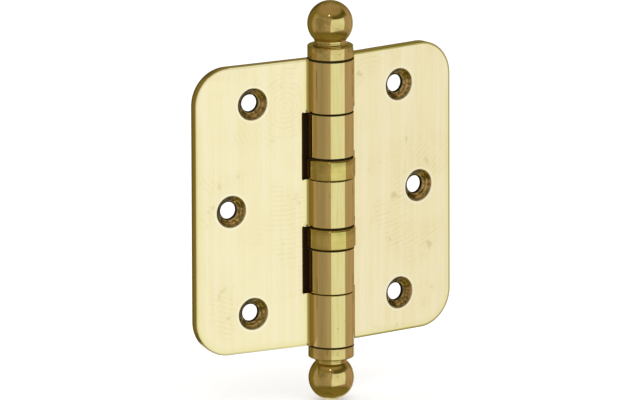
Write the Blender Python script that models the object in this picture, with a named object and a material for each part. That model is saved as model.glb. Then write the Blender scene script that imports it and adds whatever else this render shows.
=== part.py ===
"""Ball-tip butt hinge with two thrust bearings and a lift-out pin.

Metres, +Z up along the pin. The fixed leaf lies towards -X with its back face on
the XZ plane, and the barrel stands out towards -Y. The origin is the middle of the
fixed leaf's back face. The moving leaf rests open, a little past flat.
"""

import math

import bmesh
import bpy
from mathutils import Matrix

# Leaves
LEAF_HEIGHT = 0.0890
LEAF_WIDTH = 0.0454  # pin axis to the long outer edge
LEAF_THICKNESS = 0.0031
LEAF_CORNER_RADIUS = 0.0111
EDGE_EASE = 0.0003
CLOSED_GAP = 0.0009  # between the two front faces when the hinge is shut
OPENING = math.radians(189.3)  # angle between the front faces at rest

# Barrel
BARREL_RADIUS = 0.00705
END_KNUCKLE = 0.0165
CENTRE_KNUCKLE = 0.0148
NOTCH_CLEARANCE = 0.00225  # barrel surface to the bottom of a notch in the other leaf
SEAM_GAP = 0.00025  # slit where the rolled end of a knuckle meets its leaf
FOOT_FILLET = 0.0008
SWAGE_FILLET = 0.0015

# Screw holes, countersunk from the front face
SCREW_HOLE_RADIUS = 0.0026
COUNTERSINK_RADIUS = 0.0050
HOLE_TO_END = 0.0120  # end holes to the top or bottom edge
MIDDLE_HOLE_TO_EDGE = 0.0120  # middle hole to the long outer edge
HOLE_STAGGER = 0.0073  # end holes stand this much nearer the pin

# Pin and tips
PIN_RADIUS = 0.0040
PIN_POINT = 0.0010  # chamfer that leads the pin into the bores
COLLAR_RADIUS = 0.0070
COLLAR_HEIGHT = 0.0039
COLLAR_EASE = 0.0003
PLUG_SPIGOT = 0.0080
BALL_TIP_RADIUS = 0.0070
NECK_RADIUS = 0.00487
NECK_HEIGHT = 0.00165
NECK_FOOT = 0.0004
STUD_RADIUS = 0.0015
STUD_DEPTH = 0.0050  # into the pin or plug, and into the ball tip

# Thrust bearings
BEARING_HEIGHT = 0.0067
BEARING_RADIUS = 0.0075
CUP_WALL = 0.0005
CUP_EASE = 0.0003
CUP_RIM_GAP = 0.0003  # extra gap over the cup's rim
BALLS_PER_BEARING = 12

# Clearances and facets
FIT_GAP = 0.0003
FILLET_STEPS = 3
ROUND_STEPS = 40
INNER_STEPS = 24
BALL_TIP_STEPS = 28
SMOOTH_ANGLE = math.radians(35)
CUTTER_MARGIN = 0.0010

# Worked out from the sizes above
FRONT_FACE = CLOSED_GAP / 2
BACK_FACE = FRONT_FACE + LEAF_THICKNESS
BORE_RADIUS = PIN_RADIUS + FIT_GAP
NOTCH_DEPTH = BARREL_RADIUS + NOTCH_CLEARANCE  # pin axis to the bottom of a notch
PIN_PLACE = ((NOTCH_DEPTH + LEAF_WIDTH) / 2, -BACK_FACE, 0)
HALF_HEIGHT = LEAF_HEIGHT / 2
END_JOINT = HALF_HEIGHT - END_KNUCKLE
CENTRE_JOINT = CENTRE_KNUCKLE / 2
BEARING_JOINT = CENTRE_JOINT + BEARING_HEIGHT
HALF_GAP = FIT_GAP / 2
COLLAR_TOP = HALF_HEIGHT + COLLAR_HEIGHT
BALL_TIP_SEAT = math.sqrt(BALL_TIP_RADIUS**2 - NECK_RADIUS**2)
BALL_TIP_CENTRE = COLLAR_TOP + NECK_HEIGHT + BALL_TIP_SEAT

BRASS_SATIN = {"colour": (0.78, 0.62, 0.33), "roughness": 0.34}
BRASS_BRIGHT = {"colour": (0.72, 0.55, 0.25), "roughness": 0.20}
STEEL = {"colour": (0.56, 0.56, 0.55), "roughness": 0.28}


def clear_scene():
    for thing in list(bpy.data.objects):
        bpy.data.objects.remove(thing, do_unlink=True)


def arc(centre, radius, start, end, steps):
    """Points on an arc, both ends included."""
    angles = [start + (end - start) * i / steps for i in range(steps + 1)]
    return [
        (centre[0] + radius * math.cos(a), centre[1] + radius * math.sin(a))
        for a in angles
    ]


def finish(name, colour, roughness):
    material = bpy.data.materials.new(name + "_metal")
    material.use_nodes = True
    shader = material.node_tree.nodes["Principled BSDF"]
    shader.inputs["Base Color"].default_value = (*colour, 1)
    shader.inputs["Roughness"].default_value = roughness
    shader.inputs["Metallic"].default_value = 1
    return material


def add_object(name, mesh, metal, parent=None):
    thing = bpy.data.objects.new(name, mesh)
    thing.parent = parent
    if metal:
        mesh.materials.append(finish(name, **metal))
    bpy.context.scene.collection.objects.link(thing)
    return thing


def add_axis(name, parent=None, place=(0, 0, 0), turn=0.0):
    axis = bpy.data.objects.new(name, None)
    axis.empty_display_size = BARREL_RADIUS
    axis.parent = parent
    axis.location = place
    axis.rotation_euler.z = turn
    bpy.context.scene.collection.objects.link(axis)
    return axis


def as_mesh(name, shape):
    bmesh.ops.recalc_face_normals(shape, faces=shape.faces)
    mesh = bpy.data.meshes.new(name)
    shape.to_mesh(mesh)
    shape.free()
    mesh.shade_smooth()
    mesh.set_sharp_from_angle(angle=SMOOTH_ANGLE)
    return mesh


def prism(name, outline, along, low, high):
    """Extrudes an outline from low to high along Z, or along Y for an (x, z) one."""
    shape = bmesh.new()
    if along == "Z":
        corners = [shape.verts.new((a, b, low)) for a, b in outline]
        step = (0, 0, high - low)
    else:
        corners = [shape.verts.new((a, low, b)) for a, b in outline]
        step = (0, high - low, 0)
    face = shape.faces.new(corners)
    made = bmesh.ops.extrude_face_region(shape, geom=[face])["geom"]
    raised = [part for part in made if isinstance(part, bmesh.types.BMVert)]
    bmesh.ops.translate(shape, verts=raised, vec=step)
    return as_mesh(name, shape)


def turned(name, profile, steps=ROUND_STEPS):
    """Spins a closed (radius, height) profile once round the Z axis."""
    shape = bmesh.new()
    corners = [shape.verts.new((radius, 0, height)) for radius, height in profile]
    for first, second in zip(corners, corners[1:] + corners[:1]):
        if first.co.x > 0 or second.co.x > 0:
            shape.edges.new((first, second))
    bmesh.ops.spin(
        shape,
        geom=shape.verts[:] + shape.edges[:],
        axis=(0, 0, 1),
        cent=(0, 0, 0),
        steps=steps,
        angle=math.tau,
        use_merge=True,
    )
    bmesh.ops.remove_doubles(shape, verts=shape.verts, dist=1e-7)
    return as_mesh(name, shape)


def guide(name, mesh, parent):
    """A shape that only cuts others."""
    tool = add_object(name, mesh, None, parent)
    tool.hide_render = True
    tool.display_type = "WIRE"
    return tool


def boolean(target, operation, tool):
    modifier = target.modifiers.new(tool.name, "BOOLEAN")
    modifier.operation = operation
    modifier.solver = "EXACT"
    modifier.object = tool


def leaf_section():
    """A leaf and its rolled knuckle, seen down the pin: u from the pin, v to the back."""
    ease = EDGE_EASE
    plate = [
        (LEAF_WIDTH - ease, FRONT_FACE),
        (LEAF_WIDTH, FRONT_FACE + ease),
        (LEAF_WIDTH, BACK_FACE - ease),
        (LEAF_WIDTH - ease, BACK_FACE),
    ]
    swage_v = BACK_FACE + SWAGE_FILLET
    swage_u = math.sqrt((BARREL_RADIUS + SWAGE_FILLET) ** 2 - swage_v**2)
    swage_end = math.atan2(-swage_v, -swage_u)
    swage = arc(
        (swage_u, swage_v), SWAGE_FILLET, -math.pi / 2, swage_end, FILLET_STEPS
    )
    foot_v = FRONT_FACE - FOOT_FILLET
    foot_u = math.sqrt((BARREL_RADIUS + FOOT_FILLET) ** 2 - foot_v**2)
    foot_start = math.atan2(-foot_v, -foot_u) % math.tau
    foot_end = math.pi - math.asin((FOOT_FILLET - SEAM_GAP) / FOOT_FILLET)
    foot = arc((foot_u, foot_v), FOOT_FILLET, foot_start, foot_end, FILLET_STEPS)
    outside_start = math.atan2(swage_v, swage_u)
    outside_end = math.tau + math.atan2(foot_v, foot_u)
    outside = arc((0, 0), BARREL_RADIUS, outside_start, outside_end, ROUND_STEPS)
    bore_start = math.tau + math.asin((FRONT_FACE - SEAM_GAP) / BORE_RADIUS)
    bore_end = math.asin(FRONT_FACE / BORE_RADIUS)
    bore = arc((0, 0), BORE_RADIUS, bore_start, bore_end, ROUND_STEPS)
    return plate + swage[:-1] + outside[:-1] + foot + bore


def leaf_outline(fingers):
    """A leaf seen square on: u from the pin, z up, with a finger for each knuckle."""
    corner_u = LEAF_WIDTH - LEAF_CORNER_RADIUS
    corner_z = HALF_HEIGHT - LEAF_CORNER_RADIUS
    radius = LEAF_CORNER_RADIUS
    steps = ROUND_STEPS // 4
    outline = arc((corner_u, -corner_z), radius, -math.pi / 2, 0, steps)
    outline += arc((corner_u, corner_z), radius, 0, math.pi / 2, steps)
    finger_tip = -BARREL_RADIUS - CUTTER_MARGIN
    if fingers[0][1] < HALF_HEIGHT:
        outline.append((NOTCH_DEPTH, HALF_HEIGHT))
    for low, high in fingers:
        if high < HALF_HEIGHT:
            outline.append((NOTCH_DEPTH, high))
        outline += [(finger_tip, high), (finger_tip, low)]
        if low > -HALF_HEIGHT:
            outline.append((NOTCH_DEPTH, low))
    if fingers[-1][0] > -HALF_HEIGHT:
        outline.append((NOTCH_DEPTH, -HALF_HEIGHT))
    return outline


def screw_cutter():
    """The room a countersunk screw takes, pointing to the back along +Z."""
    cone_end = FRONT_FACE + COUNTERSINK_RADIUS - SCREW_HOLE_RADIUS
    front = FRONT_FACE - CUTTER_MARGIN
    back = BACK_FACE + CUTTER_MARGIN
    profile = [
        (0, back),
        (SCREW_HOLE_RADIUS, back),
        (SCREW_HOLE_RADIUS, cone_end),
        (COUNTERSINK_RADIUS + CUTTER_MARGIN, front),
        (0, front),
    ]
    return turned("screw_room", profile)


def screw_places():
    middle = LEAF_WIDTH - MIDDLE_HOLE_TO_EDGE
    end_height = HALF_HEIGHT - HOLE_TO_END
    ends = [(middle - HOLE_STAGGER, side * end_height) for side in (1, -1)]
    return [ends[0], (middle, 0), ends[1]]


def add_leaf(name, fingers, side, parent):
    """side is -1 for the leaf towards -X and 1 for the one towards +X."""
    section = [(side * u, v) for u, v in leaf_section()]
    outline = [(side * u, z) for u, z in leaf_outline(fingers)]
    reach = HALF_HEIGHT + CUTTER_MARGIN
    body = prism(name, section, "Z", -reach, reach)
    leaf = add_object(name, body, BRASS_SATIN, parent)
    depth = BARREL_RADIUS + CUTTER_MARGIN
    face = guide(name + "_face", prism(name + "_face", outline, "Y", -depth, depth), parent)
    boolean(leaf, "INTERSECT", face)
    cutter = screw_cutter()
    for number, (u, z) in enumerate(screw_places(), 1):
        hole = guide(f"{name}_hole_{number}", cutter, parent)
        hole.location = (side * u, 0, z)
        hole.rotation_euler.x = -math.pi / 2
        boolean(leaf, "DIFFERENCE", hole)


def add_pin(parent):
    """The steel pin, drilled at the top for the stud."""
    low = PLUG_SPIGOT + FIT_GAP - HALF_HEIGHT
    hole = STUD_RADIUS + FIT_GAP
    floor = COLLAR_TOP - STUD_DEPTH - FIT_GAP
    profile = [
        (0, low),
        (PIN_RADIUS - PIN_POINT, low),
        (PIN_RADIUS, low + PIN_POINT),
        (PIN_RADIUS, COLLAR_TOP),
        (hole, COLLAR_TOP),
        (hole, floor),
        (0, floor),
    ]
    add_object("hinge_pin", turned("hinge_pin", profile, INNER_STEPS), STEEL, parent)


def add_pin_head(parent):
    """The collar pressed on the pin's top, which seats on the barrel."""
    low = HALF_HEIGHT + FIT_GAP
    outer = COLLAR_RADIUS
    profile = [
        (BORE_RADIUS, low),
        (outer - COLLAR_EASE, low),
        (outer, low + COLLAR_EASE),
        (outer, COLLAR_TOP - COLLAR_EASE),
        (outer - COLLAR_EASE, COLLAR_TOP),
        (BORE_RADIUS, COLLAR_TOP),
    ]
    add_object("pin_head", turned("pin_head", profile), BRASS_BRIGHT, parent)


def add_plug(parent):
    """The collar under the barrel, with the spigot that fills the bottom bore."""
    hole = STUD_RADIUS + FIT_GAP
    low = -COLLAR_TOP
    seat = -HALF_HEIGHT - FIT_GAP
    top = PLUG_SPIGOT - HALF_HEIGHT
    profile = [
        (hole, low),
        (COLLAR_RADIUS - COLLAR_EASE, low),
        (COLLAR_RADIUS, low + COLLAR_EASE),
        (COLLAR_RADIUS, seat - COLLAR_EASE),
        (COLLAR_RADIUS - COLLAR_EASE, seat),
        (PIN_RADIUS, seat),
        (PIN_RADIUS, top),
        (0, top),
        (0, low + STUD_DEPTH + FIT_GAP),
        (hole, low + STUD_DEPTH + FIT_GAP),
    ]
    add_object("lower_tip_plug", turned("lower_tip_plug", profile), BRASS_BRIGHT, parent)


def add_ball_tip(name, parent):
    """A ball on a short neck, drilled for the stud, pointing up."""
    low = COLLAR_TOP + FIT_GAP
    hole = STUD_RADIUS + FIT_GAP
    drilled = low + STUD_DEPTH + FIT_GAP
    start = math.asin(-BALL_TIP_SEAT / BALL_TIP_RADIUS)
    ball = arc((0, BALL_TIP_CENTRE), BALL_TIP_RADIUS, start, math.pi / 2, BALL_TIP_STEPS // 2)
    profile = [
        (0, drilled),
        (hole, drilled),
        (hole, low),
        (NECK_RADIUS + NECK_FOOT, low),
        (NECK_RADIUS, low + NECK_FOOT),
        *ball[:-1],
        (0, BALL_TIP_CENTRE + BALL_TIP_RADIUS),
    ]
    return add_object(name, turned(name, profile, BALL_TIP_STEPS), BRASS_BRIGHT, parent)


def add_stud(name, parent):
    """The threaded stud between a ball tip and the pin or plug, pointing up."""
    low = COLLAR_TOP - STUD_DEPTH
    high = COLLAR_TOP + FIT_GAP + STUD_DEPTH
    profile = [(0, low), (STUD_RADIUS, low), (STUD_RADIUS, high), (0, high)]
    return add_object(name, turned(name, profile, INNER_STEPS), STEEL, parent)


def turn_over(thing):
    """Turns a tip piece upside down for the bottom of the barrel."""
    thing.rotation_euler.x = math.pi


def ball_sizes():
    """Pitch radius and ball radius that the room between pin and cup allows."""
    cup_inside = BEARING_RADIUS - CUP_WALL
    pitch = (PIN_RADIUS + cup_inside) / 2
    between_walls = (cup_inside - PIN_RADIUS) / 2 - FIT_GAP
    between_balls = pitch * math.sin(math.pi / BALLS_PER_BEARING) - HALF_GAP
    return pitch, min(between_walls, between_balls)


def race_profile(low, high, groove_height):
    """A race washer, grooved for the balls on the side that faces groove_height."""
    pitch, ball = ball_sizes()
    outer = BEARING_RADIUS - CUP_WALL - FIT_GAP
    radius = ball + FIT_GAP
    half_angle = math.acos(ball / radius)
    centre = (pitch, groove_height)
    if groove_height > high:
        down = -math.pi / 2
        groove = arc(centre, radius, down + half_angle, down - half_angle, FILLET_STEPS)
        return [(BORE_RADIUS, low), (outer, low), (outer, high), *groove, (BORE_RADIUS, high)]
    up = math.pi / 2
    groove = arc(centre, radius, up + half_angle, up - half_angle, FILLET_STEPS)
    return [(BORE_RADIUS, low), *groove, (outer, low), (outer, high), (BORE_RADIUS, high)]


def add_bearing(prefix, base, below, above, balls_axis):
    """A cup and race on the knuckle below, a race under the knuckle above, balls between."""
    low = base + HALF_GAP
    high = base + BEARING_HEIGHT - HALF_GAP
    rim = high - CUP_RIM_GAP
    inside = BEARING_RADIUS - CUP_WALL
    cup = [
        (BORE_RADIUS, low),
        (BEARING_RADIUS - CUP_EASE, low),
        (BEARING_RADIUS, low + CUP_EASE),
        (BEARING_RADIUS, rim - CUP_EASE),
        (BEARING_RADIUS - CUP_EASE, rim),
        (inside, rim),
        (inside, low + CUP_WALL),
        (BORE_RADIUS, low + CUP_WALL),
    ]
    name = prefix + "_bearing_cup"
    add_object(name, turned(name, cup), BRASS_BRIGHT, below)
    pitch, ball = ball_sizes()
    race_low = low + CUP_WALL + FIT_GAP
    middle = (race_low + high) / 2
    name = prefix + "_bearing_lower_race"
    race = race_profile(race_low, middle - ball, middle)
    add_object(name, turned(name, race, INNER_STEPS), STEEL, below)
    name = prefix + "_bearing_upper_race"
    race = race_profile(middle + ball, high, middle)
    add_object(name, turned(name, race, INNER_STEPS), STEEL, above)
    for number in range(BALLS_PER_BEARING):
        shape = bmesh.new()
        bmesh.ops.create_icosphere(shape, subdivisions=2, radius=ball)
        turn = math.tau * number / BALLS_PER_BEARING
        place = Matrix.Rotation(turn, 4, "Z") @ Matrix.Translation((pitch, 0, middle))
        name = f"{prefix}_bearing_ball_{number + 1:02d}"
        thing = add_object(name, as_mesh(name, shape), STEEL, balls_axis)
        thing.matrix_local = place


def build():
    clear_scene()
    fixed = add_axis("pin_axis", place=PIN_PLACE)
    swing = add_axis("leaf_swing_axis", fixed, turn=OPENING - math.pi)
    lift = add_axis("pin_lift_axis", fixed)
    upper_balls = add_axis("upper_balls_axis", fixed, turn=(OPENING - math.pi) / 2)
    lower_balls = add_axis("lower_balls_axis", fixed, turn=(OPENING - math.pi) / 2)
    gap = HALF_GAP
    fixed_fingers = [
        (END_JOINT + gap, HALF_HEIGHT),
        (gap - CENTRE_JOINT, CENTRE_JOINT - gap),
        (-HALF_HEIGHT, -END_JOINT - gap),
    ]
    moving_fingers = [
        (BEARING_JOINT + gap, END_JOINT - gap),
        (gap - END_JOINT, -BEARING_JOINT - gap),
    ]
    add_leaf("fixed_leaf", fixed_fingers, -1, fixed)
    add_leaf("moving_leaf", moving_fingers, 1, swing)
    add_bearing("upper", CENTRE_JOINT, fixed, swing, upper_balls)
    add_bearing("lower", -BEARING_JOINT, swing, fixed, lower_balls)
    add_pin(lift)
    add_pin_head(lift)
    add_ball_tip("upper_ball_tip", lift)
    add_stud("upper_tip_stud", lift)
    add_plug(fixed)
    turn_over(add_ball_tip("lower_ball_tip", fixed))
    turn_over(add_stud("lower_tip_stud", fixed))


build()
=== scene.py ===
"""Ball-tip butt hinge in polished and brushed brass, with two ball-bearing rings.

Metres, +Z up along the pin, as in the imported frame. Each piece is drawn, spun, cut
and eased here, then rides on its body.
"""

import math

import bmesh
import bpy
from mathutils import Matrix, Vector


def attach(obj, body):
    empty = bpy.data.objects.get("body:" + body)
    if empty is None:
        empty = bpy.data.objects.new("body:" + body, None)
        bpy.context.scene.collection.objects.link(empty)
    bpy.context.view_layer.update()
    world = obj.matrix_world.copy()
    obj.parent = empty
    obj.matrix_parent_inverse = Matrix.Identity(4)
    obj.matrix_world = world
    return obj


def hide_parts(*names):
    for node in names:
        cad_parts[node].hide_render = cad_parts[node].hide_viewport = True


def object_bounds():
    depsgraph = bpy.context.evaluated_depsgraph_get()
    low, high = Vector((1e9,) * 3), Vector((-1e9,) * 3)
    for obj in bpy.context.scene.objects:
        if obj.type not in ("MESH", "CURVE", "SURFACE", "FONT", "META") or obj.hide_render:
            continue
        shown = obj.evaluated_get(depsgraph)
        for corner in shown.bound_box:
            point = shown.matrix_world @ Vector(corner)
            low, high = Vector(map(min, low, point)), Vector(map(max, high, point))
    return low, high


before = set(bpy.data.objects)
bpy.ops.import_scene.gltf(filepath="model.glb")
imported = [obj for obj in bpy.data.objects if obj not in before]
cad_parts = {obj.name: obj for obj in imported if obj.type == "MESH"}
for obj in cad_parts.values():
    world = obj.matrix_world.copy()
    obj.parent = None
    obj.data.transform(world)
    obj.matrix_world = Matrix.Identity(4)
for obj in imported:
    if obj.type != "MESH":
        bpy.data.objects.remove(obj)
CAD_LOW, CAD_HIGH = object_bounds()

MM = 0.001

# The pin stands where the hinge axis is
PIN = Vector((27.35, -3.55, 0)) * MM
MOVING_TURN = math.radians(9.3)  # the moving leaf rests this far past flat

# Leaves, square to the pin: u from the pin, v to the back, z up
HALF_HEIGHT = 44.5 * MM
LEAF_WIDTH = 45.39 * MM
FRONT = 0.45 * MM
BACK = 3.55 * MM
CORNER_RADIUS = 11.1 * MM
EASE = 0.30 * MM
NOTCH = 9.3 * MM
NOTCH_CORNER = 0.45 * MM

# Barrel
BARREL = 7.05 * MM
BORE = 4.08 * MM
SEAM = 0.05 * MM  # slit left where the rolled end meets the leaf
FOOT_FILLET = 0.8 * MM
SWAGE_FILLET = 1.5 * MM
END_JOINT = 28.0 * MM
CENTRE_JOINT = 7.4 * MM
BEARING_JOINT = 14.1 * MM
JOINT_GAP = 0.1 * MM

# Screw holes
HOLE = 2.6 * MM
SINK = 5.0 * MM
HOLE_PLACES = [(26.1 * MM, 32.5 * MM), (33.4 * MM, 0.0), (26.1 * MM, -32.5 * MM)]

BUFFING_CENTRE = (15.0 * MM, 31.0 * MM)  # u and z that the buffing arcs run round

# Pin, collars and ball tips
PIN_RADIUS = 4.0 * MM
PIN_FOOT = -36.2 * MM
COLLAR = 7.0 * MM
COLLAR_EASE = 0.32 * MM
COLLAR_TOP = 48.4 * MM
BALL_TIP = 6.996 * MM
BALL_CENTRE = 55.078 * MM
NECK = 4.87 * MM
STUD = 1.5 * MM
STUD_DEPTH = 5.0 * MM
THREAD = 0.5 * MM

# Bearings
CUP = 7.5 * MM
CUP_WALL = 0.5 * MM
CUP_HEIGHT = 6.1 * MM
BALL = 1.2 * MM
BALL_PITCH = 5.5 * MM
BALLS = 12


# ---- Modelling by hand ----


def pick_only(piece):
    bpy.ops.object.select_all(action="DESELECT")
    piece.select_set(True)
    bpy.context.view_layer.objects.active = piece


def open_mesh(piece):
    pick_only(piece)
    bpy.ops.object.mode_set(mode="EDIT")
    bpy.ops.mesh.select_all(action="DESELECT")


def close_mesh():
    bpy.ops.object.mode_set(mode="OBJECT")


def pick_edges(piece, wanted):
    """Selects the edges that pass a test, in edit mode."""
    bpy.ops.mesh.select_mode(type="EDGE")
    shape = bmesh.from_edit_mesh(piece.data)
    for edge in shape.edges:
        edge.select_set(bool(wanted(edge)))
    bmesh.update_edit_mesh(piece.data)


class Pen:
    """Draws an outline stroke by stroke, by extruding and spinning its last vertex."""

    def __init__(self, name, place):
        bpy.ops.object.select_all(action="DESELECT")
        bpy.ops.mesh.primitive_plane_add(size=MM)
        self.piece = bpy.context.object
        self.piece.name = name
        bpy.ops.object.mode_set(mode="EDIT")
        bpy.ops.mesh.select_mode(type="VERT")
        bpy.ops.mesh.select_all(action="SELECT")
        bpy.ops.mesh.merge(type="CENTER")
        bpy.ops.mesh.select_all(action="SELECT")
        self.place = Vector(place)
        bpy.ops.transform.translate(value=self.place)

    def line(self, *places):
        for place in places:
            step = Vector(place) - self.place
            bpy.ops.mesh.extrude_vertices_move(TRANSFORM_OT_translate={"value": step})
            self.place = Vector(place)
        return self

    def arc(self, centre, angle, steps, axis):
        # The spin operator counts its angle the other way round
        bpy.ops.mesh.spin(steps=steps, angle=-angle, center=centre, axis=axis)
        turn = Matrix.Rotation(angle, 4, Vector(axis))
        self.place = Vector(centre) + turn @ (self.place - Vector(centre))
        return self

    def join_ends(self):
        bpy.ops.mesh.select_all(action="SELECT")
        bpy.ops.mesh.remove_doubles(threshold=2e-6)


def beside_pin(radius, height):
    return PIN + Vector((radius, 0, height))


class TurnedPen(Pen):
    """Draws a turned piece's profile beside the pin, in radius and height."""

    def __init__(self, name, radius, height):
        super().__init__(name, beside_pin(radius, height))

    def go(self, *places):
        return self.line(*[beside_pin(radius, height) for radius, height in places])

    def curve(self, radius, height, angle, steps):
        """Turns the pen round a centre, anticlockwise for a positive angle."""
        return self.arc(beside_pin(radius, height), math.radians(angle), steps, (0, -1, 0))

    def turn(self, steps=96, centre=PIN, axis=(0, 0, 1)):
        """Spins the profile once round and gives the finished body."""
        bpy.ops.mesh.select_all(action="SELECT")
        bpy.ops.mesh.spin(steps=steps, angle=math.tau, center=centre, axis=axis)
        bpy.ops.mesh.select_all(action="SELECT")
        bpy.ops.mesh.remove_doubles(threshold=1e-6)
        bpy.ops.mesh.delete_loose()
        bpy.ops.mesh.select_all(action="SELECT")
        bpy.ops.mesh.normals_make_consistent(inside=False)
        close_mesh()
        return self.piece


def smooth(piece, angle=32, weighted=True):
    pick_only(piece)
    bpy.ops.object.shade_smooth_by_angle(angle=math.radians(angle))
    if weighted:
        even = piece.modifiers.new("even_shading", "WEIGHTED_NORMAL")
        even.keep_sharp = True
        bpy.ops.object.modifier_apply(modifier=even.name)


def cut(piece, cutter):
    """Takes the cutter's room out of the piece and clears the cutter away."""
    pick_only(piece)
    room = piece.modifiers.new("cut", "BOOLEAN")
    room.operation = "DIFFERENCE"
    room.solver = "EXACT"
    room.object = cutter
    bpy.ops.object.modifier_apply(modifier=room.name)
    bpy.data.objects.remove(cutter, do_unlink=True)


def settle(piece):
    """Puts a piece's place into its mesh."""
    pick_only(piece)
    bpy.ops.object.transform_apply(location=True, rotation=True, scale=True)


def another(piece, name):
    """A copy with its own mesh."""
    pick_only(piece)
    bpy.ops.object.duplicate(linked=False)
    copy = bpy.context.object
    copy.name = name
    return copy


def turned_over(piece, name):
    """A copy turned upside down about the middle of the pin."""
    copy = another(piece, name)
    open_mesh(copy)
    bpy.ops.mesh.select_all(action="SELECT")
    bpy.ops.transform.rotate(value=math.pi, orient_axis="X", center_override=PIN)
    close_mesh()
    return copy


def lifted(piece, name, height):
    copy = another(piece, name)
    open_mesh(copy)
    bpy.ops.mesh.select_all(action="SELECT")
    bpy.ops.transform.translate(value=(0, 0, height))
    close_mesh()
    return copy


# ---- Leaves with their rolled knuckles ----


def draw_section(name, side):
    """The rolled strip seen down the pin: plate, swage, barrel, foot and bore."""
    up = (0, 0, 1)

    def spot(u, v):
        return (side * u, v, -HALF_HEIGHT)

    swage_v = BACK + SWAGE_FILLET
    swage_u = math.sqrt((BARREL + SWAGE_FILLET) ** 2 - swage_v**2)
    swage_turn = math.atan2(-swage_v, -swage_u) + math.pi / 2
    foot_v = FRONT - FOOT_FILLET
    foot_u = math.sqrt((BARREL + FOOT_FILLET) ** 2 - foot_v**2)
    foot_turn = math.pi - math.asin((FOOT_FILLET - SEAM) / FOOT_FILLET)
    foot_turn -= math.atan2(-foot_v, -foot_u) % math.tau
    barrel_turn = math.tau + math.atan2(foot_v, foot_u) - math.atan2(swage_v, swage_u)
    bore_start = math.asin((FRONT - SEAM) / BORE)
    bore_turn = math.asin(FRONT / BORE) - bore_start - math.tau

    pen = Pen(name, spot(LEAF_WIDTH, FRONT))
    pen.line(spot(LEAF_WIDTH, BACK), spot(swage_u, BACK))
    pen.arc(spot(swage_u, swage_v), side * swage_turn, 7, up)
    pen.arc(spot(0, 0), side * barrel_turn, 104, up)
    pen.arc(spot(foot_u, foot_v), side * foot_turn, 5, up)
    pen.line(spot(BORE * math.cos(bore_start), FRONT - SEAM))
    pen.arc(spot(0, 0), side * bore_turn, 64, up)
    pen.line(spot(LEAF_WIDTH, FRONT))
    pen.join_ends()
    bpy.ops.mesh.edge_face_add()
    bpy.ops.mesh.extrude_region_move(
        TRANSFORM_OT_translate={"value": (0, 0, 2 * HALF_HEIGHT)}
    )
    bpy.ops.mesh.select_all(action="SELECT")
    bpy.ops.mesh.normals_make_consistent(inside=False)
    return pen.piece


def round_outer_corners(leaf, side):
    def corner(edge):
        ends = [vertex.co for vertex in edge.verts]
        outer = all(abs(side * end.x - LEAF_WIDTH) < 1e-6 for end in ends)
        return outer and abs(ends[0].z - ends[1].z) < 1e-6

    pick_edges(leaf, corner)
    bpy.ops.mesh.bevel(
        offset=CORNER_RADIUS, segments=30, affect="EDGES", clamp_overlap=False
    )
    close_mesh()


def notch_cutter(side, low, high):
    """The room for the other leaf's knuckle, its two inner corners slightly round."""
    reach = BARREL + MM
    bpy.ops.object.select_all(action="DESELECT")
    bpy.ops.mesh.primitive_cube_add(size=1)
    cutter = bpy.context.object
    cutter.scale = (NOTCH + reach, 2 * reach, high - low)
    cutter.location = (side * (NOTCH - reach) / 2, 0, (low + high) / 2)
    settle(cutter)
    open_mesh(cutter)

    def inner(edge):
        ends = [vertex.co for vertex in edge.verts]
        deep = all(abs(side * end.x - NOTCH) < 1e-6 for end in ends)
        return deep and abs(ends[0].z - ends[1].z) < 1e-6

    pick_edges(cutter, inner)
    bpy.ops.mesh.bevel(offset=NOTCH_CORNER, segments=6, affect="EDGES")
    close_mesh()
    return cutter


def screw_cutter(side, u, z):
    """A countersunk screw's room, spun about the hole's own axis."""
    centre = Vector((side * u, 0, z))
    depth = SINK - HOLE

    def spot(radius, v):
        return centre + Vector((radius, v, 0))

    pen = TurnedPen("screw_room", 0, 0)
    pen.line(spot(0, BACK + MM))
    bpy.ops.mesh.select_all(action="INVERT")
    bpy.ops.mesh.delete(type="VERT")
    bpy.ops.mesh.select_all(action="SELECT")
    pen.line(spot(HOLE, BACK + MM), spot(HOLE, FRONT + depth))
    pen.line(spot(SINK + MM, FRONT - MM), spot(0, FRONT - MM))
    return pen.turn(72, centre, (0, 1, 0))


def ease_edges(leaf, side):
    """A small round on the stamped edges, the knuckle ends and the countersinks."""
    open_mesh(leaf)
    near_seam = (FRONT - 0.95 * MM, FRONT + 0.05 * MM)

    def stamped(edge):
        if len(edge.link_faces) != 2 or not edge.is_convex:
            return False
        if edge.calc_face_angle(0) < math.radians(50):
            return False
        ends = [vertex.co for vertex in edge.verts]
        radii = [math.hypot(end.x, end.y) for end in ends]
        if max(radii) < BARREL - 0.1 * MM:
            return False
        seam = [
            side * end.x < BARREL + 0.9 * MM and near_seam[0] < end.y < near_seam[1]
            for end in ends
        ]
        return not (any(seam) and all(side * end.x > 0 for end in ends))

    pick_edges(leaf, stamped)
    bpy.ops.mesh.bevel(
        offset=EASE, segments=3, affect="EDGES", clamp_overlap=False, loop_slide=True
    )
    close_mesh()


def seam_opening(side, end, length):
    """A thin wedge: the seam stands a little open at the end of a knuckle."""
    bpy.ops.object.select_all(action="DESELECT")
    bpy.ops.mesh.primitive_cone_add(vertices=4, radius1=0.5, radius2=0.12, depth=1)
    wedge = bpy.context.object
    wedge.scale = (0.42 * MM, 0.9 * MM, abs(length) + MM)
    wedge.location = (side * (BARREL + 0.72 * MM), FRONT - 0.25 * MM, end + (length - MM) / 2)
    settle(wedge)
    return wedge


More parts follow.
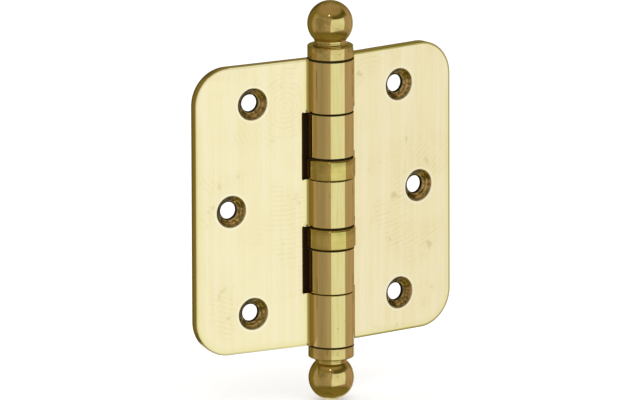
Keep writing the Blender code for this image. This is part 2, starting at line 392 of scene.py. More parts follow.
def make_leaf(name, side, notches, turn):
    leaf = draw_section(name, side)
    round_outer_corners(leaf, side)
    for low, high in notches:
        cut(leaf, notch_cutter(side, low, high))
    for u, z in HOLE_PLACES:
        cut(leaf, screw_cutter(side, u, z))
    open_mesh(leaf)
    bpy.ops.mesh.select_all(action="SELECT")
    bpy.ops.mesh.remove_doubles(threshold=1e-6)
    bpy.ops.mesh.dissolve_limited(angle_limit=math.radians(0.2))
    close_mesh()
    ease_edges(leaf, side)
    if side < 0:
        cut(leaf, seam_opening(side, END_JOINT, 2.4 * MM))
    leaf.rotation_euler.z = turn
    leaf.location = PIN
    settle(leaf)
    smooth(leaf, 30)
    return leaf


def make_fixed_leaf():
    gap = JOINT_GAP
    notches = [
        (CENTRE_JOINT - gap, END_JOINT + gap),
        (-END_JOINT - gap, gap - CENTRE_JOINT),
    ]
    return make_leaf("fixed_leaf_brass", -1, notches, 0)


def make_moving_leaf():
    gap = JOINT_GAP
    beyond = HALF_HEIGHT + MM
    notches = [
        (END_JOINT - gap, beyond),
        (-BEARING_JOINT - gap, BEARING_JOINT + gap),
        (-beyond, gap - END_JOINT),
    ]
    return make_leaf("moving_leaf_brass", 1, notches, MOVING_TURN)


# ---- Turned tips ----


def make_ball_tip(name):
    """Ball, neck with its turned step, and the hole for the stud."""
    low = COLLAR_TOP + 0.04 * MM
    hole = STUD + 0.04 * MM
    floor = low + STUD_DEPTH
    seat_radius = NECK - 0.03 * MM
    seat = -math.degrees(math.acos(seat_radius / BALL_TIP))
    seat_height = BALL_CENTRE + BALL_TIP * math.sin(math.radians(seat))
    pen = TurnedPen(name, 0, floor)
    pen.go((hole, floor), (hole, low + 0.3 * MM), (hole + 0.3 * MM, low))
    pen.go((NECK + 0.2 * MM, low), (NECK + 0.32 * MM, low + 0.12 * MM))
    pen.go((NECK + 0.32 * MM, low + 0.26 * MM), (NECK + 0.05 * MM, low + 0.4 * MM))
    for ring in range(2):
        base = low + (0.5 + 0.42 * ring) * MM
        pen.go((NECK, base), (NECK - 0.14 * MM, base + 0.09 * MM))
        pen.go((NECK - 0.14 * MM, base + 0.17 * MM), (NECK, base + 0.26 * MM))
    pen.go((seat_radius, seat_height))
    pen.curve(0, BALL_CENTRE, 90 - seat, 44)
    return pen.turn()


def collar_wall(pen, low, high):
    """Goes up the outside of a collar from its low rim to its high one, both eased."""
    ease = COLLAR_EASE
    pen.go((COLLAR - ease, low))
    pen.curve(COLLAR - ease, low + ease, 90, 4)
    pen.go((COLLAR, high - ease))
    pen.curve(COLLAR - ease, high - ease, 90, 4)


def make_collar():
    """The collar pressed on the top of the pin."""
    low = HALF_HEIGHT + JOINT_GAP
    inside = PIN_RADIUS + 0.02 * MM
    pen = TurnedPen("pin_collar", inside, low)
    collar_wall(pen, low, COLLAR_TOP)
    pen.go((inside + 0.15 * MM, COLLAR_TOP), (inside, COLLAR_TOP - 0.15 * MM), (inside, low))
    pen.join_ends()
    return pen.turn()


def make_plug():
    """The lower collar and its spigot, drawn upright and then turned over."""
    low = HALF_HEIGHT + JOINT_GAP
    foot = HALF_HEIGHT - 8.0 * MM
    hole = STUD + 0.04 * MM
    floor = COLLAR_TOP - STUD_DEPTH
    pen = TurnedPen("plug_upright", 0, foot)
    pen.go((PIN_RADIUS - 0.4 * MM, foot), (PIN_RADIUS, foot + 0.4 * MM), (PIN_RADIUS, low))
    collar_wall(pen, low, COLLAR_TOP)
    pen.go((hole + 0.3 * MM, COLLAR_TOP), (hole, COLLAR_TOP - 0.3 * MM), (hole, floor), (0, floor))
    upright = pen.turn()
    plug = turned_over(upright, "plug_collar")
    bpy.data.objects.remove(upright, do_unlink=True)
    return plug


def make_pin():
    """The steel pin, with its lead at the foot and the drilled head."""
    hole = STUD + 0.04 * MM
    floor = COLLAR_TOP - STUD_DEPTH - 0.2 * MM
    lead = 1.0 * MM
    pen = TurnedPen("pin_rod", 0, PIN_FOOT)
    pen.go((PIN_RADIUS - lead, PIN_FOOT), (PIN_RADIUS - 0.1 * MM, PIN_FOOT + lead))
    pen.go((PIN_RADIUS, PIN_FOOT + lead + 0.3 * MM), (PIN_RADIUS, COLLAR_TOP - 0.2 * MM))
    pen.go((PIN_RADIUS - 0.2 * MM, COLLAR_TOP), (hole + 0.3 * MM, COLLAR_TOP))
    pen.go((hole, COLLAR_TOP - 0.3 * MM), (hole, floor), (0, floor - 0.8 * MM))
    return pen.turn()


def make_stud():
    """The stud, with a thread rolled on it as a run of fine ridges."""
    low = COLLAR_TOP - STUD_DEPTH + 0.1 * MM
    high = COLLAR_TOP + STUD_DEPTH - 0.1 * MM
    core = STUD - 0.3 * MM
    ridges = int((high - low) / THREAD) - 1
    pen = TurnedPen("upper_stud_threaded", 0, low)
    pen.go((core, low))
    for ridge in range(ridges):
        base = low + (ridge + 0.5) * THREAD
        pen.go((core, base), (STUD, base + 0.4 * THREAD), (STUD, base + 0.6 * THREAD))
    pen.go((core, low + (ridges + 0.5) * THREAD), (core, high), (0, high))
    return pen.turn(48)


# ---- Ball bearings between the knuckles ----


def make_cup():
    """The spun brass cup of the upper bearing, rolled round at its foot and lipped."""
    low = CENTRE_JOINT + JOINT_GAP
    rim = CENTRE_JOINT + 0.15 * MM + CUP_HEIGHT
    inside = CUP - CUP_WALL
    foot = 0.45 * MM
    pen = TurnedPen("upper_cup_spun", BORE, low)
    pen.go((CUP - foot, low))
    pen.curve(CUP - foot, low + foot, 90, 5)
    pen.go((CUP, rim - 0.42 * MM), (CUP - 0.06 * MM, rim - 0.3 * MM))
    pen.go((CUP - 0.26 * MM, rim - 0.05 * MM), (CUP - 0.34 * MM, rim))
    pen.go((inside + 0.04 * MM, rim), (inside, rim - 0.05 * MM), (inside, low + CUP_WALL))
    pen.go((BORE, low + CUP_WALL), (BORE, low))
    pen.join_ends()
    return pen.turn(120)


def make_race(name, flat, groove_side, middle):
    """A ground race washer. groove_side is 1 when the balls lie above it."""
    outer = CUP - CUP_WALL - 0.06 * MM
    radius = BALL + 0.06 * MM
    face = middle - groove_side * BALL * 0.8
    half = math.degrees(math.acos(BALL * 0.8 / radius))
    edge = radius * math.sin(math.radians(half))
    ease = 0.15 * MM * groove_side
    inner = BORE + 0.04 * MM
    pen = TurnedPen(name, inner, flat)
    pen.go((outer - abs(ease), flat), (outer, flat + ease), (outer, face - ease))
    pen.go((outer - abs(ease), face), (BALL_PITCH + edge, face))
    pen.curve(BALL_PITCH, middle, -groove_side * 2 * half, 12)
    pen.go((inner + abs(ease), face), (inner, face - ease), (inner, flat))
    pen.join_ends()
    return pen.turn(72)


def make_bearing_ball(middle):
    """One ground ball on the bearing's pitch circle, spun from a half circle."""
    pen = TurnedPen("bearing_ball", BALL_PITCH, middle - BALL)
    pen.curve(BALL_PITCH, middle, 180, 12)
    return pen.turn(20, beside_pin(BALL_PITCH, middle))


def ring_of_balls(prefix, pattern, height, lead):
    """Copies the ball round the pin; lead is where the first one stands."""
    balls = []
    for number in range(BALLS):
        ball = lifted(pattern, f"{prefix}_ball_{number + 1:02d}", height)
        ball.data.transform(
            Matrix.Translation(PIN)
            @ Matrix.Rotation(lead + math.tau * number / BALLS, 4, "Z")
            @ Matrix.Translation(-PIN)
        )
        balls.append(ball)
    return balls


# ---- Finishes ----


class Value:
    """A number that changes over a surface, built up as Math nodes."""

    def __init__(self, bench, socket):
        self.bench = bench
        self.socket = socket

    def math(self, operation, *others):
        values = {i: v for i, v in enumerate((self, *others))}
        return self.bench.node("ShaderNodeMath", {"operation": operation}, values)

    def __add__(self, other):
        return self.math("ADD", other)

    def __sub__(self, other):
        return self.math("SUBTRACT", other)

    def __mul__(self, other):
        return self.math("MULTIPLY", other)

    def __truediv__(self, other):
        return self.math("DIVIDE", other)

    def __rsub__(self, other):
        return self * -1 + other

    __radd__ = __add__
    __rmul__ = __mul__

    def smallest(self, other):
        return self.math("MINIMUM", other)

    def largest(self, other):
        return self.math("MAXIMUM", other)

    def power(self, exponent):
        return self.math("POWER", exponent)

    def step(self, start, end):
        """0 before start, 1 after end, smooth between."""
        return self.bench.node(
            "ShaderNodeMapRange",
            {"interpolation_type": "SMOOTHSTEP", "clamp": True},
            {"Value": self, "From Min": start, "From Max": end, "To Min": 0, "To Max": 1},
        )

    def band(self, start, end, soft):
        """1 between start and end, 0 outside, with soft ends."""
        rise = self.step(start - soft, start + soft)
        return rise * (1 - self.step(end - soft, end + soft))


class Bench:
    """Adds nodes to one finish, with their settings first and then their sockets."""

    def __init__(self, tree):
        self.tree = tree

    def node(self, kind, settings=None, values=None, output=0):
        made = self.tree.nodes.new(kind)
        for name, value in (settings or {}).items():
            if name == "stops":
                self.set_stops(made.color_ramp, value)
            else:
                setattr(made, name, value)
        for name, value in (values or {}).items():
            socket = made.inputs[name]
            if isinstance(value, Value):
                self.tree.links.new(value.socket, socket)
            else:
                socket.default_value = value
        return Value(self, made.outputs[output])

    @staticmethod
    def set_stops(ramp, stops):
        while len(ramp.elements) < len(stops):
            ramp.elements.new(0.5)
        for element, (place, colour) in zip(ramp.elements, stops):
            element.position = place
            element.color = (*colour, 1)

    def blend(self, factor, first, second):
        colours = [c if isinstance(c, Value) else (*c, 1) for c in (first, second)]
        return self.node(
            "ShaderNodeMix",
            {"data_type": "RGBA"},
            {0: factor, 6: colours[0], 7: colours[1]},
            output=2,
        )

    def place(self, location=(0, 0, 0)):
        """Object coordinates with the pattern moved."""
        coordinates = self.node("ShaderNodeTexCoord", output="Object")
        return self.node(
            "ShaderNodeMapping",
            {"vector_type": "POINT"},
            {"Vector": coordinates, "Location": location},
        )

    def parts(self, vector):
        whole = self.node("ShaderNodeSeparateXYZ", {}, {0: vector})
        outputs = whole.socket.node.outputs
        return [Value(self, outputs[i]) for i in range(3)]

    def noise(self, vector, scale, detail=2.0, rough=0.5, distortion=0.0):
        return self.node(
            "ShaderNodeTexNoise",
            {},
            {
                "Vector": vector,
                "Scale": scale,
                "Detail": detail,
                "Roughness": rough,
                "Distortion": distortion,
            },
        )


def new_finish(name):
    material = bpy.data.materials.new(name)
    material.use_nodes = True
    tree = material.node_tree
    shader = tree.nodes["Principled BSDF"]
    return material, Bench(tree), shader


def connect(bench, shader, colour=None, roughness=None, bump=None, strength=0.2, depth=0.02 * MM):
    links = bench.tree.links
    if colour is not None:
        links.new(colour.socket, shader.inputs["Base Color"])
    if roughness is not None:
        links.new(roughness.socket, shader.inputs["Roughness"])
    if bump is not None:
        relief = bench.node(
            "ShaderNodeBump", {}, {"Strength": strength, "Distance": depth, "Height": bump}
        )
        links.new(relief.socket, shader.inputs["Normal"])


# Main colours of the metals
LEAF_CREAM = (0.93, 0.83, 0.55)
ROLLED_GOLD = (0.745, 0.66, 0.31)
RING_GOLD = (0.68, 0.60, 0.20)
# Near black brown of painted shade and old polish at the joints, and of other darkened places
DARKENING_BROWN = (0.035, 0.025, 0.008)


def leaf_finish(name, side, turn, ends, corner_shade_and_highlight, outline_depth):
    """Brushed leaf faces, a polished rolled barrel and turned countersinks.

    ends gives each dark joint as (lowest height, highest height), darkened with
    painted shade and old polish; the corner amount is how strongly shade is
    painted on the leaf face and the barrel's side where they meet, with a painted
    highlight down the barrel's front; and outline_depth is how far the eased
    outline and outer edge of the leaf are darkened.
    """
    material, bench, shader = new_finish(name)
    shader.inputs["Specular IOR Level"].default_value = 0.0
    centred = bench.place(location=tuple(-PIN))
    squared = bench.node(
        "ShaderNodeMapping",
        {"vector_type": "POINT"},
        {"Vector": centred, "Rotation": (0, 0, -turn)},
    )
    x, v, z = bench.parts(squared)
    u = x * side
    across = (u * u + v * v).power(0.5)
    barrel = 1 - across.step(BARREL + 0.1 * MM, BARREL + 0.35 * MM)

    def drawn_out(height_scale):
        return bench.node(
            "ShaderNodeMapping",
            {"vector_type": "POINT"},
            {"Vector": squared, "Scale": (1, 1, height_scale)},
        )

    fine_lines = bench.noise(drawn_out(0.01), 5200, 2, 0.6)
    wide_lines = bench.noise(drawn_out(0.02), 420, 3, 0.55)
    rolled = bench.noise(drawn_out(0.06), 1300, 2, 0.5)
    cloud = bench.noise(squared, 55, 3, 0.5, 0.6)
    blot = bench.noise(squared, 230, 2, 0.4)
    speck = bench.noise(squared, 900, 2, 0.5)

    # Screw holes
    nearest, above, beside = None, None, None
    for hole_u, hole_z in HOLE_PLACES:
        du = u - hole_u
        dz = z - hole_z
        away = (du * du + dz * dz).power(0.5)
        inside = away.step(SINK + 2 * MM, SINK + 1 * MM)
        nearest = away if nearest is None else nearest.smallest(away)
        above = inside * dz if above is None else above + inside * dz
        beside = inside * du if beside is None else beside + inside * du
    deep = v.step(FRONT + 0.08 * MM, FRONT + 0.3 * MM)
    back_face = v.step(BACK - 0.12 * MM, BACK - 0.02 * MM)
    sink = (1 - nearest.step(SINK - 0.05 * MM, SINK + 0.1 * MM)) * deep * (1 - back_face)
    turning = (nearest * (math.tau / (0.75 * MM)) + speck * 7).math("SINE") * 0.5 + 0.5
    throat = 1 - nearest.step(HOLE + 0.15 * MM, HOLE + 0.6 * MM)
    lip = nearest.step(SINK - 0.75 * MM, SINK - 0.2 * MM)
    underside = 1 - above.step(-2.6 * MM, -0.6 * MM)
    overhang = (above * 0.6 - beside * side * 0.8).step(0.9 * MM, 2.2 * MM)
    # Painted highlight: a pale ring on the face round each countersink
    rim_highlight = nearest.band(SINK + 0.1 * MM, SINK + 0.7 * MM, 0.25 * MM) * (1 - deep)

    # Arcs left by a buffing wheel, only here and there
    su = u - BUFFING_CENTRE[0]
    sz = z - BUFFING_CENTRE[1]
    swirl = ((su * su + sz * sz).power(0.5) * (math.tau / (1.5 * MM)) + cloud * 6).math("SINE")
    swirl = swirl.step(0.9, 1.0) * cloud.step(0.50, 0.58) * speck.step(0.40, 0.55)

    cream = bench.blend(cloud.step(0.35, 0.7), LEAF_CREAM, (0.90, 0.79, 0.49))
    cream = bench.blend(wide_lines.step(0.40, 0.66) * 0.6, cream, (0.95, 0.86, 0.62))
    cream = bench.blend(fine_lines.step(0.5, 0.75) * 0.25, cream, (0.84, 0.74, 0.44))
    # Painted sheen: streaky yellow-green on the leaf face beside the barrel
    foot_glow = (1 - u.step(8.2 * MM, 10.5 * MM)) * wide_lines.step(0.3, 0.6)
    cream = bench.blend(foot_glow * 0.55, cream, (0.86, 0.80, 0.38))
    # Painted shade on the leaf face next to the barrel, scaled by the corner amount
    foot = 1 - u.step(7.2 * MM, 8.3 * MM)
    cream = bench.blend(foot * corner_shade_and_highlight * 0.8, cream, (0.58, 0.48, 0.17))
    stain = blot.step(0.64, 0.74) * cloud.step(0.48, 0.60)
    cream = bench.blend(stain * 0.35, cream, (0.70, 0.60, 0.28))
    cream = bench.blend(swirl * 0.4, cream, (0.66, 0.58, 0.28))
    cream = bench.blend(rim_highlight * 0.6, cream, (0.97, 0.92, 0.72))
    past_side = (u - (LEAF_WIDTH - CORNER_RADIUS)).largest(0.0)
    past_end = (z.math("ABSOLUTE") - (HALF_HEIGHT - CORNER_RADIUS)).largest(0.0)
    outward = (past_side * past_side + past_end * past_end).power(0.5)
    near_rim = outward.step(CORNER_RADIUS - 3.2 * MM, CORNER_RADIUS - 0.4 * MM)
    near_rim = near_rim * (1 - z.step(24 * MM, 36 * MM))
    cream = bench.blend(near_rim * (cloud * 0.5 + 0.35), cream, (0.84, 0.76, 0.38))
    outline = outward.step(CORNER_RADIUS - 0.78 * MM, CORNER_RADIUS - 0.50 * MM)
    cream = bench.blend(outline * outline_depth, cream, (0.42, 0.38, 0.09))
    rim = v.step(FRONT + 0.2 * MM, FRONT + 0.4 * MM)
    edge = bench.blend(
        v.step(FRONT + 1.2 * MM, BACK - 0.3 * MM), (0.92, 0.80, 0.46), (0.42, 0.34, 0.12)
    )
    side_edge = past_side.step(CORNER_RADIUS * 0.70, CORNER_RADIUS * 0.92)
    edge = bench.blend(side_edge * outline_depth, edge, (0.36, 0.32, 0.06))
    cream = bench.blend(rim * (1 - back_face), cream, edge)

    gold = bench.blend(rolled.step(0.35, 0.68), ROLLED_GOLD, (0.70, 0.60, 0.26))
    pits = speck.step(0.70, 0.76) * blot.step(0.52, 0.6)
    gold = bench.blend(pits * 0.7, gold, (0.35, 0.29, 0.10))
    # Painted highlight: a bright band down the barrel's front on the leaf's side
    barrel_highlight = v.band(-3.1 * MM, -2.1 * MM, 0.3 * MM) * u.step(0.0, 0.5 * MM) * corner_shade_and_highlight
    gold = bench.blend(barrel_highlight, gold, (1.0, 0.86, 0.58))
    # Painted shade: olive down the barrel's side that faces the leaf
    barrel_side_shade = v.step(-1.95 * MM, -1.35 * MM) * u.step(0.0, 0.5 * MM) * corner_shade_and_highlight
    gold = bench.blend(barrel_side_shade * 0.9, gold, (0.46, 0.41, 0.09))
    # Dark joint lines on the barrel: painted shade with old polish
    joint_shade_and_polish = sum(z.band(low, high, 0.06 * MM) for low, high in ends)
    gold = bench.blend(joint_shade_and_polish.smallest(1.0), gold, DARKENING_BROWN)
    colour = bench.blend(barrel, cream, gold)

    cone = bench.blend(turning, (0.80, 0.66, 0.34), (0.38, 0.30, 0.11))
    cone = bench.blend(speck.step(0.48, 0.60) * 0.75, cone, (0.16, 0.12, 0.03))
    # Painted shade in the countersink: darker round its rim, near black on its upper side, at its
    # lower rim and down into the hole
    cone = bench.blend(lip * 0.5, cone, (0.12, 0.08, 0.02))
    darkening_mask = (overhang * 0.8 + lip * underside * 0.9 + throat).smallest(1.0)
    cone = bench.blend(darkening_mask, cone, (0.014, 0.009, 0.003))
    colour = bench.blend(sink, colour, cone)

    # The painted countersink shade and the dark joints, painted shade with old polish, lose their
    # metal sheen
    darkening_mask = (darkening_mask * sink + joint_shade_and_polish * barrel).smallest(1.0)
    bench.tree.links.new((1 - darkening_mask).socket, shader.inputs["Metallic"])
    face_rough = fine_lines * 0.07 + 0.11 + stain * 0.08
    barrel_rough = rolled * 0.06 + 0.055
    roughness = face_rough * (1 - barrel) + barrel_rough * barrel
    roughness = roughness * (1 - sink) + sink * 0.22 + darkening_mask * 0.4
    relief = fine_lines * 0.4 + wide_lines * 0.3
    relief = relief * (1 - barrel) * (1 - sink) + rolled * 0.22 * barrel + turning * 0.5 * sink
    connect(bench, shader, colour, roughness, relief, 0.10, 0.03 * MM)
    return material


def turned_finish(name, base, shade, rough=0.09, mottle=0.0, ends=(), shaded=(), darkened_from=None):
    """Lathe-turned metal: fine rings round the pin under the polish.

    mottle is how strongly old tarnish shows, ends are the joints darkened with
    painted shade and old polish, shaded are the heights where shade is painted
    on, and the last argument is the radius outside which the metal is darkened.
    """
    material, bench, shader = new_finish(name)
    shader.inputs["Metallic"].default_value = 1.0
    shader.inputs["Specular IOR Level"].default_value = 0.0
    centred = bench.place(location=tuple(-PIN))
    x, y, z = bench.parts(centred)
    across = (x * x + y * y).power(0.5)
    profile = bench.node("ShaderNodeCombineXYZ", {}, {"X": across, "Y": 0.0, "Z": z})
    rings = bench.noise(profile, 2600, 3, 0.6)
    patches = bench.noise(centred, 320, 3, 0.5)
    colour = bench.blend(patches.step(0.35, 0.7), base, shade)
    colour = bench.blend(rings.step(0.45, 0.7) * 0.5, colour, tuple(c * 0.8 for c in base))
    roughness = rings * 0.05 + patches * 0.04 + (rough - 0.05)
    if mottle:
        tarnish = bench.noise(centred, 240, 4, 0.6, 0.5).step(0.50, 0.64)
        colour = bench.blend(tarnish * mottle, colour, (0.36, 0.33, 0.09))
        roughness = roughness + tarnish * 0.08
    # Painted shade: a dark band at each shaded height
    for low, high in shaded:
        shade_band = z.band(low, high, 0.8 * MM) * (patches * 0.5 + 0.12)
        colour = bench.blend(shade_band, colour, (0.28, 0.24, 0.06))
    # Dark joints with painted shade and old polish, and the metal darkened outside a radius
    darkened_bands = [z.band(low, high, 0.08 * MM) for low, high in ends]
    if darkened_from is not None:
        darkened_bands.append(across.step(darkened_from, darkened_from + 0.5 * MM))
    if darkened_bands:
        darkening_mask = sum(darkened_bands).smallest(1.0)
        colour = bench.blend(darkening_mask, colour, DARKENING_BROWN)
        roughness = roughness + darkening_mask * 0.4
        bench.tree.links.new((1 - darkening_mask).socket, shader.inputs["Metallic"])
    connect(bench, shader, colour, roughness, rings, 0.10, 0.02 * MM)
    return material


# ---- Studio ----

# Direction in degrees round the hinge, from -180 to 180, and the wall's colour there
WALL_COLOURS = (
    (-180, (0.10, 0.075, 0.02)),
    (-162, (0.24, 0.18, 0.05)),
    (-136, (0.26, 0.20, 0.05)),
    (-120, (0.52, 0.40, 0.30)),
    (-92, (0.44, 0.34, 0.23)),
    (-70, (0.39, 0.31, 0.22)),
    (-36, (0.55, 0.42, 0.31)),
    (56, (0.53, 0.39, 0.30)),
    (98, (0.55, 0.41, 0.30)),
    (124, (0.28, 0.19, 0.08)),
    (153, (0.24, 0.19, 0.06)),
    (180, (0.10, 0.075, 0.02)),
)
# Height from straight down, 0, to straight up, 1, and the colour there
OVERHEAD_COLOURS = (
    (0.0, (0.30, 0.22, 0.07)),
    (0.22, (0.26, 0.20, 0.06)),
    (0.30, (0.22, 0.165, 0.05)),
    (0.70, (0.30, 0.23, 0.09)),
    (0.80, (0.42, 0.31, 0.19)),
    (1.0, (0.47, 0.34, 0.24)),
)
SOFTBOX_SIDES = (-25.7, 48.3)  # degrees, where the slanted softbox ends

# Cards with a painted shadow, giving off a dim light, close behind the slots beside the barrel
CARD_PLACE = (-7.4 * MM, 3.25 * MM)  # x and y from the pin
CARD_WIDTH = 3.7 * MM
CARD_THICKNESS = 0.1 * MM
CARD_PAST_SLOT = 0.8 * MM
# Colours of the painted shadow's dim light, away from and near the leaf
SHADOW_CARD_DARK = (0.009, 0.004, 0.002)
SHADOW_CARD_WARM = (0.040, 0.020, 0.006)

# Camera, turned about the pin
CAMERA_AZIMUTH = math.radians(-26.870)
CAMERA_HEIGHT = math.radians(13.216)
CAMERA_ROLL = math.radians(-0.1915)
CAMERA_DISTANCE = 4.2033
CAMERA_LEFT = 3.25  # mm, as is the next
CAMERA_RAISE = 0.155
SENSOR_WIDTH = 36
LENS = 13878.54 * SENSOR_WIDTH / 640


def studio_world():
    """White all round for the camera and the floor; a softbox and warm walls for gloss."""
    world = bpy.data.worlds.new("soft_studio")
    bpy.context.scene.world = world
    world.use_nodes = True
    bench = Bench(world.node_tree)
    background = world.node_tree.nodes["Background"]
    direction = bench.node("ShaderNodeTexCoord", output="Generated")
    x, y, z = bench.parts(direction)
    azimuth = x.math("ARCTAN2", y * -1) * (180 / math.pi)
    height = z.math("ARCSINE") * (180 / math.pi)
    walls = bench.node(
        "ShaderNodeValToRGB",
        {"stops": [((turn + 180) / 360, colour) for turn, colour in WALL_COLOURS]},
        {0: azimuth / 360 + 0.5},
    )
    overhead = bench.node(
        "ShaderNodeValToRGB",
        {"stops": OVERHEAD_COLOURS},
        {0: height / 180 + 0.5},
    )
    level = height.band(-33, 34, 8)
    room = bench.blend(level, overhead, walls)
    hood = azimuth.band(-16, 92, 14) * height.band(24, 45, 8)
    room = bench.blend(hood * 0.9, room, (0.10, 0.09, 0.012))
    low_edge = azimuth * 0.17 - 32
    high_edge = azimuth * -0.07 + 27
    upright = (height - low_edge).step(-1.5, 1.5) * (high_edge - height).step(-1.5, 1.5)
    slant = height.step(-10, 25) * 5
    softbox = (azimuth - slant).band(*SOFTBOX_SIDES, 1.2) * upright
    room = bench.blend(softbox, room, (1.0, 1.02, 0.97))
    table_bounce = azimuth.band(122, 171, 6) * height.band(-62, -3, 4)
    room = bench.blend(table_bounce, room, (0.86, 0.84, 0.80))
    lamp = azimuth.band(-36.5, -31.5, 0.6) * height.band(46.5, 51.5, 0.6)
    room = bench.blend(lamp, room, (5.0, 4.7, 4.0))
    path = bench.node("ShaderNodeLightPath", output="Is Camera Ray")
    scattered = bench.node("ShaderNodeLightPath", output="Is Diffuse Ray")
    seen = bench.blend(path.largest(scattered), room, (1.0, 1.0, 1.0))
    world.node_tree.links.new(seen.socket, background.inputs["Color"])


def floor_finish():
    material, bench, shader = new_finish("pale_floor_paper")
    grain = bench.noise(bench.place(), 400, 2, 0.5)
    shader.inputs["Roughness"].default_value = 0.95
    shader.inputs["Emission Strength"].default_value = 0.36
    shader.inputs["Emission Color"].default_value = (1, 1, 1, 1)
    connect(bench, shader, bench.blend(grain, (0.80, 0.80, 0.80), (0.82, 0.82, 0.82)))
    return material


def lay_floor():
    low = CAD_LOW.z
    bpy.ops.object.select_all(action="DESELECT")
    bpy.ops.mesh.primitive_plane_add(size=8, location=(0, 0, low - 0.02 * MM))
    floor = bpy.context.object
    floor.name = "studio_floor"
    floor.data.materials.append(floor_finish())
    floor.visible_glossy = False


def hang_painted_slot_shadows():
    """A dark card close behind each slot beside the barrel, giving off a dim brown light: a
    painted shadow standing for shaded ground behind the hinge, so that the slots read dark.
    """
    material, bench, shader = new_finish("painted_shadow_card")
    x = bench.parts(bench.place(location=tuple(-PIN)))[0]
    grain = bench.noise(bench.place(), 900, 2, 0.5)
    near_leaf = 1 - x.step(-8.3 * MM, -7.3 * MM)
    shader.inputs["Base Color"].default_value = (0.01, 0.006, 0.003, 1)
    shader.inputs["Roughness"].default_value = 0.9
    shader.inputs["Specular IOR Level"].default_value = 0.0
    shader.inputs["Emission Strength"].default_value = 1.0
    # Painted shadow: a dim brown light, warmer and grainier near the leaf
    shadow_glow = bench.blend(near_leaf * (grain * 0.5 + 0.75), SHADOW_CARD_DARK, SHADOW_CARD_WARM)
    bench.tree.links.new(shadow_glow.socket, shader.inputs["Emission Color"])
    for name, low, high in (
        ("upper_slot_shadow_card", CENTRE_JOINT, END_JOINT),
        ("lower_slot_shadow_card", -END_JOINT, -CENTRE_JOINT),
    ):
        bpy.ops.object.select_all(action="DESELECT")
        bpy.ops.mesh.primitive_cube_add(size=1)
        card = bpy.context.object
        card.name = name
        card.scale = (CARD_WIDTH, CARD_THICKNESS, high - low + CARD_PAST_SLOT)
        card.location = PIN + Vector((*CARD_PLACE, (low + high) / 2))
        settle(card)
        card.data.materials.append(material)


def hang_lights():
    lamp = bpy.data.lights.new("overhead_softbox", "AREA")
    lamp.shape = "RECTANGLE"
    lamp.size, lamp.size_y = 0.9, 0.7
    lamp.energy = 0.6
    softbox = bpy.data.objects.new("overhead_softbox", lamp)
    softbox.location = (-0.25, -0.5, 0.9)
    aim = Vector((0, 0, 0)) - softbox.location
    softbox.rotation_euler = aim.to_track_quat("-Z", "Y").to_euler()
    softbox.visible_glossy = False
    bpy.context.scene.collection.objects.link(softbox)


def set_camera():
    azimuth, height, roll = CAMERA_AZIMUTH, CAMERA_HEIGHT, CAMERA_ROLL
    back = Vector(
        (
            math.sin(azimuth) * math.cos(height),
            -math.cos(azimuth) * math.cos(height),
            math.sin(height),
        )
    )
    right = Vector((math.cos(azimuth), math.sin(azimuth), 0))
    up = back.cross(right)
    level_right = right * math.cos(roll) + up * math.sin(roll)
    level_up = up * math.cos(roll) - right * math.sin(roll)
    place = PIN + back * CAMERA_DISTANCE
    place = place - level_right * CAMERA_LEFT * MM + level_up * CAMERA_RAISE * MM
    camera = bpy.data.objects.new("studio_camera", bpy.data.cameras.new("studio_camera"))
    camera.data.sensor_width = SENSOR_WIDTH
    camera.data.lens = LENS
    camera.data.clip_start, camera.data.clip_end = 0.1, 60
    camera.matrix_world = Matrix.Translation(place) @ Matrix(
        (level_right, level_up, back)
    ).transposed().to_4x4()
    bpy.context.scene.collection.objects.link(camera)
    bpy.context.scene.camera = camera


# ---- Put together ----


def place_piece(piece, body, node, slot, material):
    """Gives a piece its finish and body, in place of its CAD node."""
    piece.data.materials.clear()
    piece.data.materials.append(material)
    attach(piece, body)
    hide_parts(node)


def build_leaves():
    fixed = make_fixed_leaf()
    moving = make_moving_leaf()
    # Joints of each leaf's barrel darkened with painted shade and old polish
    fixed_ends = (
        (HALF_HEIGHT - 0.5 * MM, HALF_HEIGHT + 0.3 * MM),
        (CENTRE_JOINT - JOINT_GAP - 0.12 * MM, CENTRE_JOINT + 0.2 * MM),
        (-BEARING_JOINT - 0.2 * MM, -BEARING_JOINT + 0.35 * MM),
    )
    moving_ends = (
        (END_JOINT - JOINT_GAP - 0.3 * MM, END_JOINT + 0.2 * MM),
        (BEARING_JOINT - 0.2 * MM, BEARING_JOINT + 0.35 * MM),
        (-BEARING_JOINT - 0.45 * MM, -BEARING_JOINT + 0.2 * MM),
    )
    # Only the fixed leaf gets the painted corner shade and highlight
    brass = leaf_finish("fixed_leaf_brushed_brass", -1, 0, fixed_ends, 1.0, 0.3)
    place_piece(fixed, "fixed_leaf", "fixed_leaf", "leaf_brass", brass)
    brass = leaf_finish(
        "moving_leaf_brushed_brass", 1, MOVING_TURN, moving_ends, 0.0, 0.95
    )
    place_piece(moving, "moving_leaf", "moving_leaf", "leaf_brass", brass)


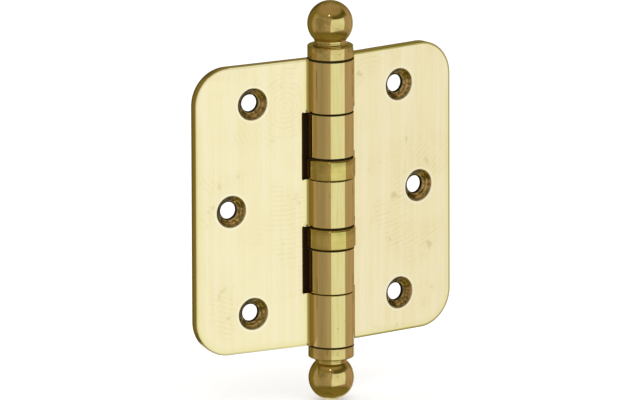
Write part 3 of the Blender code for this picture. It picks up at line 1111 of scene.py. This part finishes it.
def build_tips():
    tip_brass = turned_finish(
        "turned_tip_brass",
        (0.70, 0.61, 0.26),
        (0.66, 0.53, 0.22),
        mottle=0.6,
        # Lower collar's top at the joint: painted shade with old polish
        ends=((-HALF_HEIGHT - 0.45 * MM, -HALF_HEIGHT + 0.2 * MM),),
    )
    pin_steel = turned_finish("drawn_pin_steel", (0.60, 0.59, 0.57), (0.52, 0.51, 0.50), 0.22)
    ball = make_ball_tip("upper_ball_tip_turned")
    smooth(ball, 24)
    lower_ball = turned_over(ball, "lower_ball_tip_turned")
    collar = make_collar()
    plug = make_plug()
    rod = make_pin()
    stud = make_stud()
    for piece in (collar, plug, rod):
        smooth(piece, 24)
    smooth(stud, 24, weighted=False)
    lower_stud = turned_over(stud, "lower_stud_threaded")
    place_piece(ball, "pin", "upper_ball_tip", "tip_brass", tip_brass)
    place_piece(lower_ball, "fixed_leaf", "lower_ball_tip", "tip_brass", tip_brass)
    place_piece(collar, "pin", "pin_head", "tip_brass", tip_brass)
    place_piece(plug, "fixed_leaf", "lower_tip_plug", "tip_brass", tip_brass)
    place_piece(rod, "pin", "hinge_pin", "pin_steel", pin_steel)
    place_piece(stud, "pin", "upper_tip_stud", "pin_steel", pin_steel)
    place_piece(lower_stud, "fixed_leaf", "lower_tip_stud", "pin_steel", pin_steel)


def build_bearings():
    cup_brass = turned_finish(
        "spun_cup_brass",
        RING_GOLD,
        (0.62, 0.52, 0.17),
        mottle=0.35,
        # Ring tops at the joints: painted shade with old polish; the bands below them: painted
        # shade
        ends=(
            (BEARING_JOINT - 0.35 * MM, BEARING_JOINT + 0.3 * MM),
            (-CENTRE_JOINT - 0.35 * MM, -CENTRE_JOINT + 0.3 * MM),
        ),
        shaded=(
            (BEARING_JOINT - 2.0 * MM, BEARING_JOINT + 0.8 * MM),
            (-CENTRE_JOINT - 2.0 * MM, -CENTRE_JOINT + 0.8 * MM),
        ),
    )
    steel = turned_finish(
        "ground_bearing_steel", (0.58, 0.58, 0.58), (0.50, 0.50, 0.49), 0.12, darkened_from=5.6 * MM
    )
    drop = -BEARING_JOINT - CENTRE_JOINT
    cup = make_cup()
    smooth(cup, 20)
    lower_cup = lifted(cup, "lower_cup_spun", drop)
    floor = CENTRE_JOINT + JOINT_GAP + CUP_WALL + 0.02 * MM
    top = BEARING_JOINT - JOINT_GAP
    middle = (floor + top) / 2
    lower_race = make_race("upper_bearing_bottom_race", floor, 1, middle)
    upper_race = make_race("upper_bearing_top_race", top, -1, middle)
    for race in (lower_race, upper_race):
        smooth(race, 24)
    second_lower = lifted(lower_race, "lower_bearing_bottom_race", drop)
    second_upper = lifted(upper_race, "lower_bearing_top_race", drop)
    ball = make_bearing_ball(middle)
    smooth(ball, 60, weighted=False)
    rows = [
        (cup, "fixed_leaf", "upper_bearing_cup", "cup_brass", cup_brass),
        (lower_cup, "moving_leaf", "lower_bearing_cup", "cup_brass", cup_brass),
        (lower_race, "fixed_leaf", "upper_bearing_lower_race", "bearing_steel", steel),
        (upper_race, "moving_leaf", "upper_bearing_upper_race", "bearing_steel", steel),
        (second_lower, "moving_leaf", "lower_bearing_lower_race", "bearing_steel", steel),
        (second_upper, "fixed_leaf", "lower_bearing_upper_race", "bearing_steel", steel),
    ]
    for prefix, height in (("upper", 0), ("lower", drop)):
        balls = ring_of_balls(prefix, ball, height, MOVING_TURN / 2)
        for number, made in enumerate(balls, 1):
            node = f"{prefix}_bearing_ball_{number:02d}"
            rows.append((made, f"{prefix}_balls", node, "bearing_steel", steel))
    bpy.data.objects.remove(ball, do_unlink=True)
    for row in rows:
        place_piece(*row)


set_camera()
studio_world()
lay_floor()
hang_painted_slot_shadows()
hang_lights()
build_leaves()
build_tips()
build_bearings()
bpy.context.scene.view_settings.view_transform = "Standard"
bpy.context.view_layer.update()
